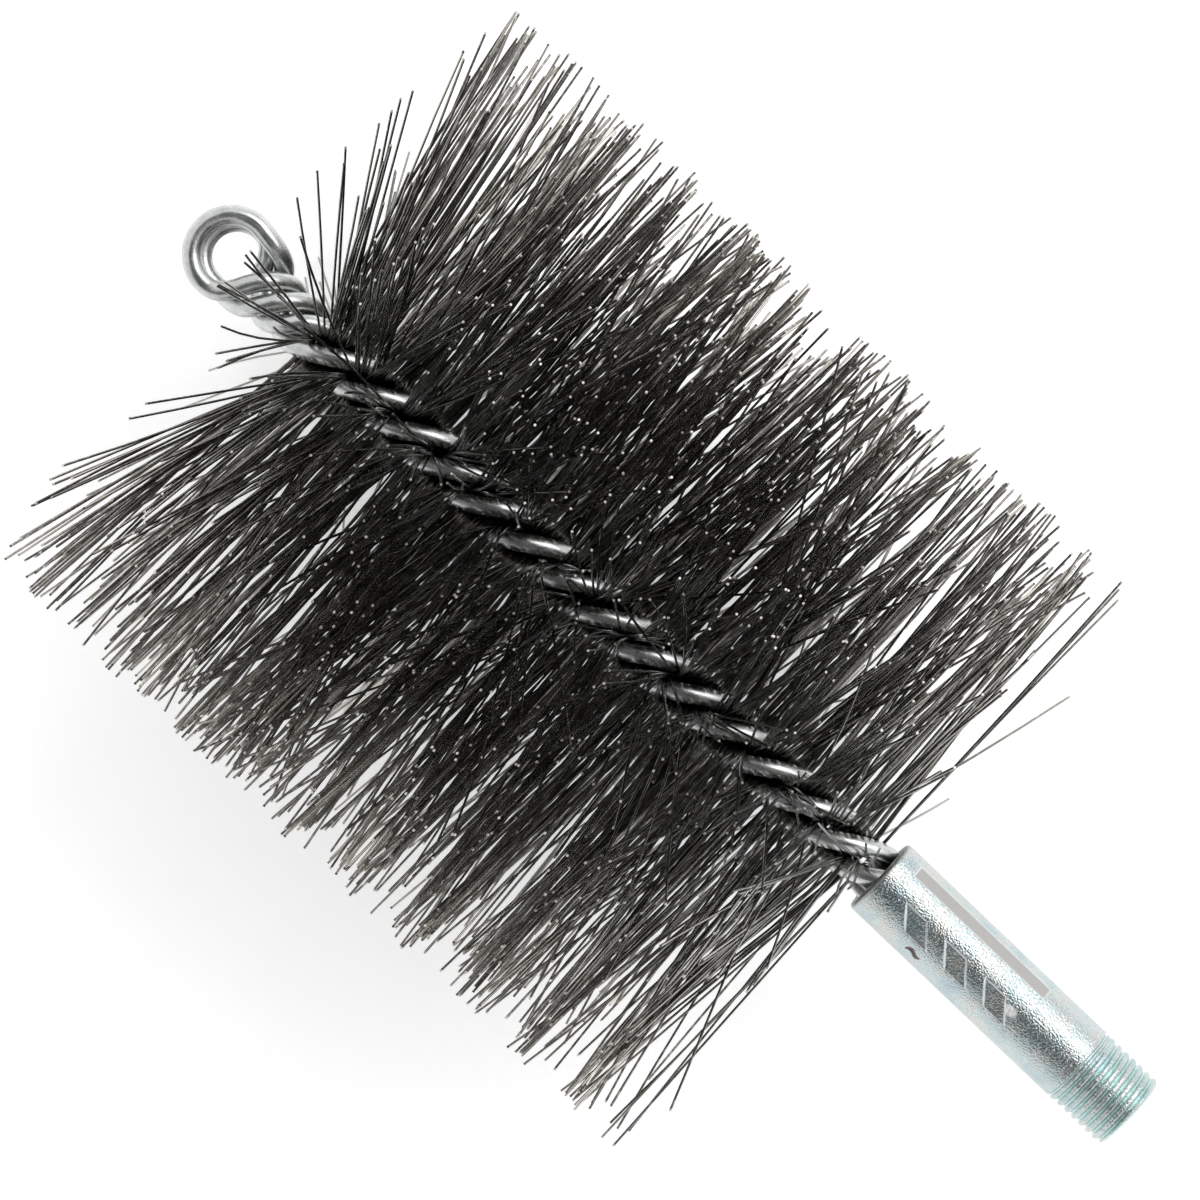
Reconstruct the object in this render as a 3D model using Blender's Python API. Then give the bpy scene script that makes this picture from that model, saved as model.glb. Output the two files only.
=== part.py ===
# Twisted wire tube brush, lying on its bristles with the stem level.
# The stem is two steel wires, each folded in half round an eye. Their four strands are twisted left-handed,
# and the filaments are gripped between them in two layers that cross, so the bristles stand in a double helix.
# A steel ferrule is pressed onto the far end of the stem and is turned down for a pipe thread.
# Units are metres. +X runs along the stem from the eye to the threaded end, and +Z is up.

import math

import bmesh
import bpy
from mathutils import Vector

# Stem wires
wire_diameter = 0.0030
twist_lead = 0.03175  # one turn of the twist where it grips the filaments
neck_lead = 0.0175  # one turn beside the eye, where nothing parts the wires
seat_gap = 0.00025  # between pieces that touch on the real brush

# Eye
eye_radius = 0.00585  # centreline of the wire that lies uppermost
inner_eye_radius = 0.00515  # centreline of the wire below it, wound a little tighter
eye_rise = 0.00042  # of the upper eye's centre, to the side of the stem's axis
inner_eye_rise = 0.00075
inner_eye_shift = 0.0006  # of the tighter eye's centre, towards the bristles
eye_gap = 0.0005  # between the two eyes

# Lengths along the stem
neck_length = 0.0167  # from the eye's centre to the first bristles
loosen_length = 0.0036  # of the stretch before the bristles where the neck's tight twist opens
brush_length = 0.1133
ferrule_gap = 0.00235  # from the last bristles to the ferrule
ferrule_length = 0.0508
stem_in_ferrule = 0.0330

# Bristles
tip_radius = 0.0565
rest_cut = 0.0005  # taken off the tips that the brush lies on
filament_layer = 0.0004  # thickness of the filaments where the strands grip them
slice_count = 14
rows_per_slice = 7
tuft_length = 0.00050  # of a tuft's root, along the stem
tip_length = 0.00050
tip_width = 0.00060
eye_splay = 0.0100  # how far the endmost tips lean out beyond their roots
ferrule_splay = -0.0040  # less than zero, as the tips beside the ferrule lean back from it
eye_splay_reach = 0.030  # length of brush over which the lean fades out
ferrule_splay_reach = 0.022
splay_power = 3  # above 1 it fades faster at first
tip_scatter = 0.0040  # along the stem, either way
trim_scatter = 0.0011  # by which a tip may be cut short
turn_scatter = 5.0  # degrees, either way round the stem
rest_turn = 8.0  # degrees either side of straight down within which no tip is trimmed, so that the brush lies firm

# Ferrule
ferrule_diameter = 0.0127
mouth_chamfer = 0.0004
bore_chamfer = 0.0003
thread_length = 0.0102
thread_relief = 0.0005  # width of the groove behind the thread
relief_depth = 0.00035
thread_chamfer = 0.00065

# Press marks that lock the ferrule to the stem
mark_count = 3
mark_start = 0.0052  # from the mouth to the first slanted mark
mark_length = 0.0044
mark_slant = 0.0028
mark_depth = 0.00035
mark_turn = -17.0  # degrees from the top of the ferrule, positive towards +Y
pad_start = 0.0036
pad_length = 0.0262
pad_depth = 0.00012
pad_turn = 44.0
cut_overrun = 0.0010

# Fineness of the round forms
wire_sides_resolution = 4
points_per_turn = 14
points_per_eye = 24
points_per_leg = 8
ferrule_segments = 48

# Where each half of a folded wire leaves its eye and joins the twist: the angle in degrees from the stem's
# direction, the quarter turn of the twist, and how far each end of the curve between them runs straight on,
# as shares of the upper eye's radius. Front and back name the wire, over and under the side of the eye.
front_over_shares = {"leave": 82.1, "join": -0.84, "eye_pull": 1.368, "twist_pull": 1.255}
front_under_shares = {"leave": 88.5, "join": -1.82, "eye_pull": 0.632, "twist_pull": 0.644}
back_over_shares = {"leave": 95.0, "join": -2.01, "eye_pull": 0.694, "twist_pull": 0.294}
back_under_shares = {"leave": 95.0, "join": -0.85, "eye_pull": 1.344, "twist_pull": 1.137}
first_crossing_share = 0.956  # of the eye's radius, from its centre to where the strands first cross

# Sizes that follow from the values above
wire_radius = wire_diameter / 2
slice_length = brush_length / slice_count
quarter_lead = twist_lead / 4
overall_length = (
    wire_radius + eye_radius + neck_length + brush_length + ferrule_gap + ferrule_length
)
eye_x = wire_radius + eye_radius - overall_length / 2
brush_start = eye_x + neck_length
brush_end = brush_start + brush_length
ferrule_start = brush_end + ferrule_gap
ferrule_end = ferrule_start + ferrule_length
stem_end = ferrule_start + stem_in_ferrule
axis_height = tip_radius - rest_cut


def strand_distance(radius, lead):
    """Closest distance between the centrelines of two strands a quarter turn apart."""
    samples = 200
    closest = radius * 2
    for i in range(samples + 1):
        along = lead / 4 * i / samples
        turn = math.pi / 2 - math.tau * along / lead
        across = 2 * radius * math.sin(turn / 2)
        closest = min(closest, math.hypot(along, across))
    return closest


def strand_radius(distance, lead):
    """Radius at which neighbouring strands of this lead lie the given distance apart."""
    low = distance / 2
    high = distance * 2
    for _ in range(50):
        middle = (low + high) / 2
        if strand_distance(middle, lead) < distance:
            low = middle
        else:
            high = middle
    return high


grip_radius = strand_radius(wire_diameter + filament_layer + 2 * seat_gap, twist_lead)
neck_radius = strand_radius(wire_diameter + seat_gap, neck_lead)
bore_radius = grip_radius + wire_radius + seat_gap
ferrule_radius = ferrule_diameter / 2
thread_end_radius = ferrule_radius - thread_chamfer

# The twist is counted from where the strands first cross, just beyond the eye.
first_crossing = eye_x + first_crossing_share * eye_radius
loosen_start = brush_start - loosen_length


def quarter_turns(x):
    """Quarter turns of the twist at x. A strand is uppermost at each whole number, and they first cross at -2."""
    neck_rate = 4 / neck_lead
    change = 4 / twist_lead - neck_rate
    share = min(max((x - loosen_start) / loosen_length, 0), 1)
    loosened = loosen_length * (share**3 - share**4 / 2) + max(x - loosen_start - loosen_length, 0)
    return neck_rate * (x - first_crossing) + change * loosened - 2


def place_of_turn(turns):
    """The x at which the twist reaches this many quarter turns."""
    low = eye_x
    high = stem_end
    for _ in range(50):
        middle = (low + high) / 2
        if quarter_turns(middle) < turns:
            low = middle
        else:
            high = middle
    return high


def twisted(x, start_angle):
    """Point of a strand at x. The angle is the strand's own, where the legs leave the eye."""
    share = min(max((x - loosen_start) / loosen_length, 0), 1)
    ease = share * share * (3 - 2 * share)
    radius = neck_radius + (grip_radius - neck_radius) * ease
    angle = math.radians(start_angle - 90 * (quarter_turns(x) + 2.5))
    return Vector((x, radius * math.cos(angle), radius * math.sin(angle)))


def leg_points(start_angle, shares, centre, radius, upper):
    """Points from the eye to the stem's end: a curve off the eye, then the twist."""
    side = 1 if upper else -1
    join_x = place_of_turn(shares["join"])
    step = neck_lead / points_per_turn / 8
    joined = twisted(join_x, start_angle)
    join_direction = (twisted(join_x + step, start_angle) - twisted(join_x - step, start_angle)).normalized()
    leave = math.radians(shares["leave"])
    left = centre + radius * Vector((math.cos(leave), side * math.sin(leave), 0))
    leave_direction = Vector((math.sin(leave), -side * math.cos(leave), 0))
    out_handle = left + leave_direction * shares["eye_pull"] * eye_radius
    in_handle = joined - join_direction * shares["twist_pull"] * eye_radius
    points = []
    for i in range(points_per_leg):
        t = i / points_per_leg
        s = 1 - t
        points.append(
            s**3 * left + 3 * s * s * t * out_handle + 3 * s * t * t * in_handle + t**3 * joined
        )
    join_turns = quarter_turns(join_x)
    end_turns = quarter_turns(stem_end)
    count = math.ceil((end_turns - join_turns) * points_per_turn / 4)
    for i in range(count):
        x = place_of_turn(join_turns + (end_turns - join_turns) * i / count)
        points.append(twisted(x, start_angle))
    points.append(twisted(stem_end, start_angle))
    return points


def folded_wire_points(front):
    """Centreline of one folded wire: along one leg to the eye, round it and back along the other."""
    level = (wire_diameter + eye_gap) / 2
    if front:
        centre = Vector((eye_x, eye_rise, level))
        radius = eye_radius
        upper_angle, lower_angle = 45, 135
        upper_shares, lower_shares = front_over_shares, front_under_shares
    else:
        centre = Vector((eye_x + inner_eye_shift, inner_eye_rise, -level))
        radius = inner_eye_radius
        upper_angle, lower_angle = 315, 225
        upper_shares, lower_shares = back_over_shares, back_under_shares
    upper = leg_points(upper_angle, upper_shares, centre, radius, True)
    lower = leg_points(lower_angle, lower_shares, centre, radius, False)
    first = upper_shares["leave"]
    last = 360 - lower_shares["leave"]
    count = math.ceil(points_per_eye * (last - first) / 360)
    ring = []
    for i in range(1, count):
        angle = math.radians(first + (last - first) * i / count)
        ring.append(centre + radius * Vector((math.cos(angle), math.sin(angle), 0)))
    return list(reversed(upper)) + ring + lower


def make_material(name, colour, roughness, metallic):
    material = bpy.data.materials.new(name)
    material.use_nodes = True
    shader = material.node_tree.nodes["Principled BSDF"]
    shader.inputs["Base Color"].default_value = (*colour, 1)
    shader.inputs["Roughness"].default_value = roughness
    shader.inputs["Metallic"].default_value = metallic
    material.diffuse_color = (*colour, 1)
    return material


def add_object(name, data, material):
    new = bpy.data.objects.new(name, data)
    data.materials.append(material)
    new.parent = stem_axis
    bpy.context.collection.objects.link(new)
    return new


def mesh_from(bm, name):
    bmesh.ops.recalc_face_normals(bm, faces=bm.faces)
    mesh = bpy.data.meshes.new(name)
    bm.to_mesh(mesh)
    bm.free()
    return mesh


def make_stem_wire(name, front, material):
    curve = bpy.data.curves.new(name, "CURVE")
    curve.dimensions = "3D"
    curve.bevel_depth = wire_radius
    curve.bevel_resolution = wire_sides_resolution
    curve.use_fill_caps = True
    points = folded_wire_points(front)
    spline = curve.splines.new("POLY")
    spline.points.add(len(points) - 1)
    for spline_point, point in zip(spline.points, points):
        spline_point.co = (*point, 1)
    spline.use_smooth = True
    return add_object(name, curve, material)


def scatter(index, step):
    """A fixed uneven sequence between -1 and 1, as evenly spread as the golden ratio makes it."""
    return 2 * ((index * step + step / 2) % 1) - 1


def lean_at(x):
    """How far a tip stands along the stem from a root at x: bristles fan out at both ends."""
    from_eye = max(1 - (x - brush_start) / eye_splay_reach, 0)
    from_ferrule = max(1 - (brush_end - x) / ferrule_splay_reach, 0)
    return ferrule_splay * from_ferrule**splay_power - eye_splay * from_eye**splay_power


def grip_angle(x, arm):
    """Angle of one arm of the filament layers, midway between two strands."""
    return math.radians(90 * arm - 90 * (quarter_turns(x) + 2.5))


def layer_section(bm, x):
    """Cross-shaped section of the two filament layers at x, as a loop of vertices."""
    half = filament_layer / 2
    loop = []
    for arm in range(4):
        angle = grip_angle(x, arm)
        outwards = Vector((0, math.cos(angle), math.sin(angle)))
        across = Vector((0, -math.sin(angle), math.cos(angle)))
        for along_arm, to_side in ((root_radius, -half), (root_radius, half), (half, half)):
            loop.append(bm.verts.new(Vector((x, 0, 0)) + outwards * along_arm + across * to_side))
    return loop


def add_tuft(bm, root, x, arm, row):
    """Draws one tuft from its four root vertices to a flat-cut tip, and cuts it level with the table."""
    # Opposite arms share a filament, so they are scattered alike and the brush stays balanced.
    index = 2 * row + arm % 2
    angle = grip_angle(x, arm) + math.radians(turn_scatter * scatter(index, 0.755))
    lean = lean_at(x)
    is_rest = -math.sin(angle) > math.cos(math.radians(rest_turn))
    trimmed = tip_radius - trim_scatter * (not is_rest) * (1 + scatter(index, 0.618)) / 2
    reach = math.sqrt(trimmed**2 - lean**2)
    outwards = Vector((0, math.cos(angle), math.sin(angle)))
    across = Vector((0, -math.sin(angle), math.cos(angle)))
    centre = Vector((x + lean + tip_scatter * scatter(index, 0.414), 0, 0)) + outwards * reach
    tip = []
    for along_side, to_side in ((-1, -1), (-1, 1), (1, 1), (1, -1)):
        point = centre + Vector((along_side * tip_length / 2, 0, 0)) + across * to_side * tip_width / 2
        point.z = max(point.z, -axis_height)
        tip.append(bm.verts.new(point))
    for i in range(4):
        j = (i + 1) % 4
        bm.faces.new((root[i], root[j], tip[j], tip[i]))
    bm.faces.new(tip)


def make_bristles(name, number, material):
    """One slice of the brush: its length of the filament layers, with a row of tufts on each arm."""
    bm = bmesh.new()
    start = brush_start + slice_length * number + seat_gap / 2
    row_pitch = (slice_length - seat_gap) / rows_per_slice
    spare = (row_pitch - tuft_length) / 2
    places = [start]
    for row in range(rows_per_slice):
        places.append(start + row_pitch * row + spare)
        places.append(start + row_pitch * (row + 1) - spare)
    places.append(start + row_pitch * rows_per_slice)
    loops = [layer_section(bm, x) for x in places]
    bm.faces.new(loops[0])
    bm.faces.new(loops[-1])
    for step in range(len(places) - 1):
        near = loops[step]
        far = loops[step + 1]
        is_tuft = step % 2 == 1
        for i in range(len(near)):
            j = (i + 1) % len(near)
            arm, corner = divmod(i, 3)
            if is_tuft and corner == 0:
                row = number * rows_per_slice + step // 2
                middle = (places[step] + places[step + 1]) / 2
                add_tuft(bm, (near[i], near[j], far[j], far[i]), middle, arm, row)
            else:
                bm.faces.new((near[i], near[j], far[j], far[i]))
    return add_object(name, mesh_from(bm, name), material)


def press_cutter(name, turn, start, length, slant, depth):
    """Slanted block that stands on the flat floor of one press mark."""
    bm = bmesh.new()
    floor = ferrule_radius - depth
    half_width = math.sqrt(ferrule_radius**2 - floor**2) + cut_overrun * (slant == 0)
    top = ferrule_radius + cut_overrun
    corners = []
    for x, side in ((start, 1), (start + length, 1), (start + length + slant, -1), (start + slant, -1)):
        corners.append(bm.verts.new((ferrule_start + x, side * half_width, floor)))
    face = bm.faces.new(corners)
    raised = bmesh.ops.extrude_face_region(bm, geom=[face])
    for item in raised["geom"]:
        if isinstance(item, bmesh.types.BMVert):
            item.co.z = top
    cutter = add_object(name, mesh_from(bm, name), zinc)
    cutter.rotation_euler.x = -math.radians(turn)
    cutter.hide_render = True
    cutter.display_type = "WIRE"
    return cutter


def make_ferrule(name, material):
    """Turned tube, spun about the stem's axis, with the press marks cut into it."""
    thread_start = ferrule_end - thread_length
    groove_radius = ferrule_radius - relief_depth
    profile = (
        (ferrule_start, bore_radius + bore_chamfer),
        (ferrule_start, ferrule_radius - mouth_chamfer),
        (ferrule_start + mouth_chamfer, ferrule_radius),
        (thread_start - thread_relief, ferrule_radius),
        (thread_start - thread_relief, groove_radius),
        (thread_start, groove_radius),
        (thread_start + relief_depth, ferrule_radius),
        (ferrule_end - thread_chamfer, ferrule_radius),
        (ferrule_end, thread_end_radius),
        (ferrule_end, bore_radius + bore_chamfer),
        (ferrule_end - bore_chamfer, bore_radius),
        (ferrule_start + bore_chamfer, bore_radius),
    )
    bm = bmesh.new()
    outline = [bm.verts.new((x, 0, radius)) for x, radius in profile]
    edges = [bm.edges.new((outline[i - 1], outline[i])) for i in range(len(outline))]
    bmesh.ops.spin(
        bm,
        geom=outline + edges,
        cent=(0, 0, 0),
        axis=(1, 0, 0),
        angle=math.tau,
        steps=ferrule_segments,
        use_merge=True,
    )
    ferrule = add_object(name, mesh_from(bm, name), material)
    cutters = []
    for side in range(2):
        for mark in range(mark_count):
            cutters.append(
                press_cutter(
                    f"press_mark_{side}_{mark}",
                    mark_turn + 180 * side,
                    mark_start + quarter_lead * mark,
                    mark_length,
                    mark_slant,
                    mark_depth,
                )
            )
        cutters.append(
            press_cutter(f"press_pad_{side}", pad_turn + 180 * side, pad_start, pad_length, 0, pad_depth)
        )
    for cutter in cutters:
        modifier = ferrule.modifiers.new(cutter.name, "BOOLEAN")
        modifier.operation = "DIFFERENCE"
        modifier.object = cutter
    ferrule.data.shade_smooth()
    ferrule.data.set_sharp_from_angle(angle=math.radians(30))
    return ferrule


for old in list(bpy.data.objects):
    bpy.data.objects.remove(old, do_unlink=True)

# The filament layers end where they leave the grip of the strands.
root_radius = grip_radius + wire_radius - filament_layer

stem_axis = bpy.data.objects.new("stem_axis", None)
stem_axis.location.z = axis_height
bpy.context.collection.objects.link(stem_axis)

galvanised = make_material("galvanised steel wire", (0.55, 0.57, 0.58), 0.34, 1.0)
zinc = make_material("bright zinc plated steel", (0.72, 0.77, 0.78), 0.28, 1.0)
tempered = make_material("oil tempered steel filament", (0.052, 0.047, 0.043), 0.42, 0.75)

make_stem_wire("stem_wire_front", True, galvanised)
make_stem_wire("stem_wire_back", False, galvanised)
for number in range(slice_count):
    make_bristles(f"bristles_{number + 1:02d}", number, tempered)
make_ferrule("ferrule", zinc)
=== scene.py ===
# Twisted wire tube brush: galvanised stem wires, oil tempered filaments and a zinc plated ferrule.
import math

import bpy
import numpy as np
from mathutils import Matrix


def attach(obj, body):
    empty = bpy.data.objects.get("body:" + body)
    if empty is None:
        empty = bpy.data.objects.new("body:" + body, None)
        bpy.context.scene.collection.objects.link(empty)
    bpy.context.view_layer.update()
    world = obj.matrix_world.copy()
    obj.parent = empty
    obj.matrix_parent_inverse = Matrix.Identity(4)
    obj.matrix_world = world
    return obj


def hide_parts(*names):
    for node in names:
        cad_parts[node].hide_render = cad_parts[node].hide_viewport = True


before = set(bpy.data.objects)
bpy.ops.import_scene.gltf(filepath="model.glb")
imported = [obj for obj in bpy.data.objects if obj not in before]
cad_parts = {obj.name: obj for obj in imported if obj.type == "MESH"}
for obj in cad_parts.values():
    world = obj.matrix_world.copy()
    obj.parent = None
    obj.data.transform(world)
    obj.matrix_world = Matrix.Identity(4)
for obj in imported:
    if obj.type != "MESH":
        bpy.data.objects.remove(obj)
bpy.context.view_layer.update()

mm = 0.001
axisHeight = 56.0 * mm  # the stem's axis above the table


def linear(hexColour):
    # sRGB hex to linear RGBA: the low end is divided by 12.92, the rest follows the 2.4 power
    values = np.array([int(hexColour[i:i + 2], 16) for i in (1, 3, 5)]) / 255
    low = values / 12.92
    high = ((values + 0.055) / 1.055) ** 2.4
    return (*np.where(values < 0.04045, low, high).tolist(), 1.0)


def addNode(tree, kind, settings=None, **links):
    # one node with its settings; an input is given as socketName= or n and its number=, either as
    # (node, output) or as a plain value
    node = tree.nodes.new(kind)
    for key, value in (settings or {}).items():
        setattr(node, key, value)
    for key, value in links.items():
        numbered = key[0] == "n" and key[1:].isdigit()
        socket = node.inputs[int(key[1:]) if numbered else key.replace("_", " ")]
        if isinstance(value, tuple) and len(value) == 2 and hasattr(value[0], "outputs"):
            tree.links.new(value[0].outputs[value[1]], socket)
        else:
            socket.default_value = value
    return node


def newMaterial(name):
    material = bpy.data.materials.new(name)
    material.use_nodes = True
    tree = material.node_tree
    tree.nodes.clear()
    return material, tree


def colourRamp(tree, fac, stops):
    ramp = addNode(tree, "ShaderNodeValToRGB", Fac=fac)
    ramp.color_ramp.elements.remove(ramp.color_ramp.elements[1])
    for i, (place, colour) in enumerate(stops):
        element = ramp.color_ramp.elements[0] if i == 0 else ramp.color_ramp.elements.new(place)
        element.position = place
        element.color = linear(colour)
    return ramp


def meshPiece(name, points, faces, material, node=None, uv=None, smooth=True):
    # points and faces straight into a mesh, its object left at the origin
    mesh = bpy.data.meshes.new(name)
    faces = [np.asarray(f, dtype=np.int32) for f in faces if len(f)]
    loops = np.concatenate([f.ravel() for f in faces])
    sizes = np.concatenate([np.full(len(f), f.shape[1], np.int32) for f in faces])
    starts = np.concatenate([[0], np.cumsum(sizes)[:-1]]).astype(np.int32)
    mesh.vertices.add(len(points))
    mesh.vertices.foreach_set("co", np.asarray(points, np.float32).ravel())
    mesh.loops.add(len(loops))
    mesh.loops.foreach_set("vertex_index", loops)
    mesh.polygons.add(len(sizes))
    mesh.polygons.foreach_set("loop_start", starts)
    mesh.polygons.foreach_set("loop_total", sizes)
    mesh.update(calc_edges=True)
    mesh.validate()
    if uv is not None:
        layer = mesh.uv_layers.new(name="UVMap")
        layer.data.foreach_set("uv", np.asarray(uv, np.float32)[loops].ravel())
    mesh.polygons.foreach_set("use_smooth", np.full(len(sizes), smooth))
    mesh.materials.append(material)
    piece = bpy.data.objects.new(name, mesh)
    bpy.context.scene.collection.objects.link(piece)
    if node:
        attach(piece, "root")
        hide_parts(*node)
    return piece


# Stem: two wires, each folded in half round the eye and twisted into two of the four strands
stemWire = {
    "diameter": 3.0,  # mm, as drawn
    "lead": 31.75,  # one turn where the filaments are gripped
    "neckLead": 17.5,  # and beside the eye
    "gap": 0.25,  # left between strands, and between a strand and the filaments
    "layer": 0.4,  # what the gripped filaments take up
    "loosen": 3.6,  # mm before the filaments over which the twist opens
    "end": 77.45,  # mm along the stem
    "crossing": 0.956,  # of the eye's radius, from its middle to where the strands first cross
    "crossingCount": -2.0,  # quarter turns counted at that crossing
    "startCount": -2.5,  # and where a strand is at its start angle
    # each eye: middle along, across and above the stem's axis, and radius to the wire's middle
    "frontEye": (-87.9, 0.42, 1.75, 5.85),
    "backEye": (-87.3, 0.75, -1.75, 5.15),
    # each leg: the strand's angle, degrees from the stem's side of the eye at which it leaves the eye,
    # quarter turns at which it joins the twist, and the pull in mm at either end of the curve between
    "frontOver": (45, 82.1, -0.84, 8.0, 7.34),
    "frontUnder": (135, 88.5, -1.82, 3.7, 3.77),
    "backOver": (315, 95.0, -2.01, 4.06, 1.72),
    "backUnder": (225, 95.0, -0.85, 7.86, 6.65),
    "sides": 28,
    "pointsPerTurn": 60,
    "eyePoints": 70,
    "legPoints": 36,
    "drawLines": 26,  # round the wire; the real ones are too fine to show, so these are 0.36 mm wide
    "lineLength": 2.0,  # mm
    "spangle": 2.38,  # mm across the zinc's lighter and darker patches
    "pits": 0.385,  # mm across the pits in the zinc
}
brushStart, brushEnd = -71.2, 42.1  # mm along the stem, first and last filament
eyeX, eyeRadius = stemWire["frontEye"][0], stemWire["frontEye"][3]
firstCrossing = eyeX + stemWire["crossing"] * eyeRadius
loosenLength = stemWire["loosen"]
loosenStart = brushStart - loosenLength


def strandRadius(distance, lead):
    # radius where neighbouring strands, a quarter turn apart, pass at this distance: found by halving
    along = np.linspace(0, lead / 4, 400)
    turn = np.pi / 2 - 2 * np.pi * along / lead
    low, high = distance / 2, distance * 2
    for _ in range(40):
        middle = (low + high) / 2
        nearest = np.hypot(along, 2 * middle * np.sin(turn / 2)).min()
        low, high = (middle, high) if nearest < distance else (low, middle)
    return high


gripRadius = strandRadius(stemWire["diameter"] + stemWire["layer"] + 2 * stemWire["gap"], stemWire["lead"])
neckRadius = strandRadius(stemWire["diameter"] + stemWire["gap"], stemWire["neckLead"])


def quarterTurns(x):
    # the twist's rate is 4/lead, eased from the neck's to the brush's over loosenLength, and summed along x
    neckRate = 4 / stemWire["neckLead"]
    change = 4 / stemWire["lead"] - neckRate
    share = np.clip((x - loosenStart) / loosenLength, 0, 1)
    loosened = loosenLength * (share ** 3 - share ** 4 / 2) + np.maximum(x - loosenStart - loosenLength, 0)
    return neckRate * (x - firstCrossing) + change * loosened + stemWire["crossingCount"]


placeTable = np.linspace(-95, 90, 4000)  # mm along the stem, to look up where a count of turns is reached
turnTable = quarterTurns(placeTable)


def twisted(turns, startAngle):
    # a helix: x from the count of quarter turns, y and z on a circle that widens where filaments come in
    x = np.interp(turns, turnTable, placeTable)
    share = np.clip((x - loosenStart) / loosenLength, 0, 1)
    radius = neckRadius + (gripRadius - neckRadius) * share ** 2 * (3 - 2 * share)
    angle = np.radians(startAngle - 90 * (turns - stemWire["startCount"]))
    return np.stack([x, radius * np.cos(angle), radius * np.sin(angle)], -1)


def leg(startAngle, leave, join, eyePull, twistPull, centre, radius, side):
    # a cubic curve from the eye's tangent to the helix's, then the helix to the stem's end; the curve is
    # the sum of four points by (1-t)^3, 3(1-t)^2 t, 3(1-t) t^2 and t^3
    beside = 0.02  # quarter turns to either side of the join, between which the helix's direction is taken
    joined = twisted(np.array([join - beside, join, join + beside]), startAngle)
    inDirection = (joined[2] - joined[0]) / np.linalg.norm(joined[2] - joined[0])
    turn = math.radians(leave)
    left = centre + radius * np.array([math.cos(turn), side * math.sin(turn), 0])
    outDirection = np.array([math.sin(turn), -side * math.cos(turn), 0])
    t = np.linspace(0, 1, stemWire["legPoints"], endpoint=False)[:, None]
    outHandle = left + outDirection * eyePull
    inHandle = joined[1] - inDirection * twistPull
    curve = (1 - t) ** 3 * left + 3 * (1 - t) ** 2 * t * outHandle
    curve = curve + 3 * (1 - t) * t ** 2 * inHandle + t ** 3 * joined[1]
    endTurns = quarterTurns(np.array(stemWire["end"]))
    steps = int((endTurns - join) * stemWire["pointsPerTurn"] / 4)
    return np.concatenate([curve, twisted(np.linspace(join, endTurns, steps), startAngle)])


def foldedPath(which):
    # over leg reversed, round the eye, under leg: millimetres from the stem's axis
    *middle, radius = stemWire[which + "Eye"]
    over, under = stemWire[which + "Over"], stemWire[which + "Under"]
    centre = np.array(middle)
    angles = np.radians(np.linspace(over[1], 360 - under[1], stemWire["eyePoints"])[1:-1])
    ring = centre + radius * np.stack([np.cos(angles), np.sin(angles), 0 * angles], -1)
    return np.concatenate([leg(*over, centre, radius, 1)[::-1], ring, leg(*under, centre, radius, -1)])


def tube(path, radius, sides):
    # a circle carried along the path, point + radius * (cos(angle) * up + sin(angle) * across), where up is
    # +Z made square to the path
    tangent = np.gradient(path, axis=0)
    tangent /= np.linalg.norm(tangent, axis=1)[:, None]
    up = np.array([0, 0, 1.0]) - tangent * tangent[:, 2:]
    up /= np.linalg.norm(up, axis=1)[:, None]
    across = np.cross(tangent, up)
    angle = np.linspace(0, 2 * np.pi, sides, endpoint=False)
    ring = np.cos(angle)[None, :, None] * up[:, None] + np.sin(angle)[None, :, None] * across[:, None]
    points = path[:, None] + radius * ring
    count = len(path)
    i, j = np.meshgrid(np.arange(count - 1), np.arange(sides), indexing="ij")
    k = (j + 1) % sides
    quads = np.stack([i * sides + j, i * sides + k, (i + 1) * sides + k, (i + 1) * sides + j], -1)
    quads = quads.reshape(-1, 4)
    caps = [np.arange(sides)[None, ::-1], (count - 1) * sides + np.arange(sides)[None]]
    along = np.concatenate([[0], np.cumsum(np.linalg.norm(np.diff(path, axis=0), axis=1))])
    uv = np.stack(np.broadcast_arrays(along[:, None], (angle / (2 * np.pi))[None]), -1).reshape(-1, 2)
    return points.reshape(-1, 3), [quads] + caps, uv


def place(points):
    # millimetres from the stem's axis to metres above the table
    return points * mm + np.array([0, 0, axisHeight])


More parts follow.
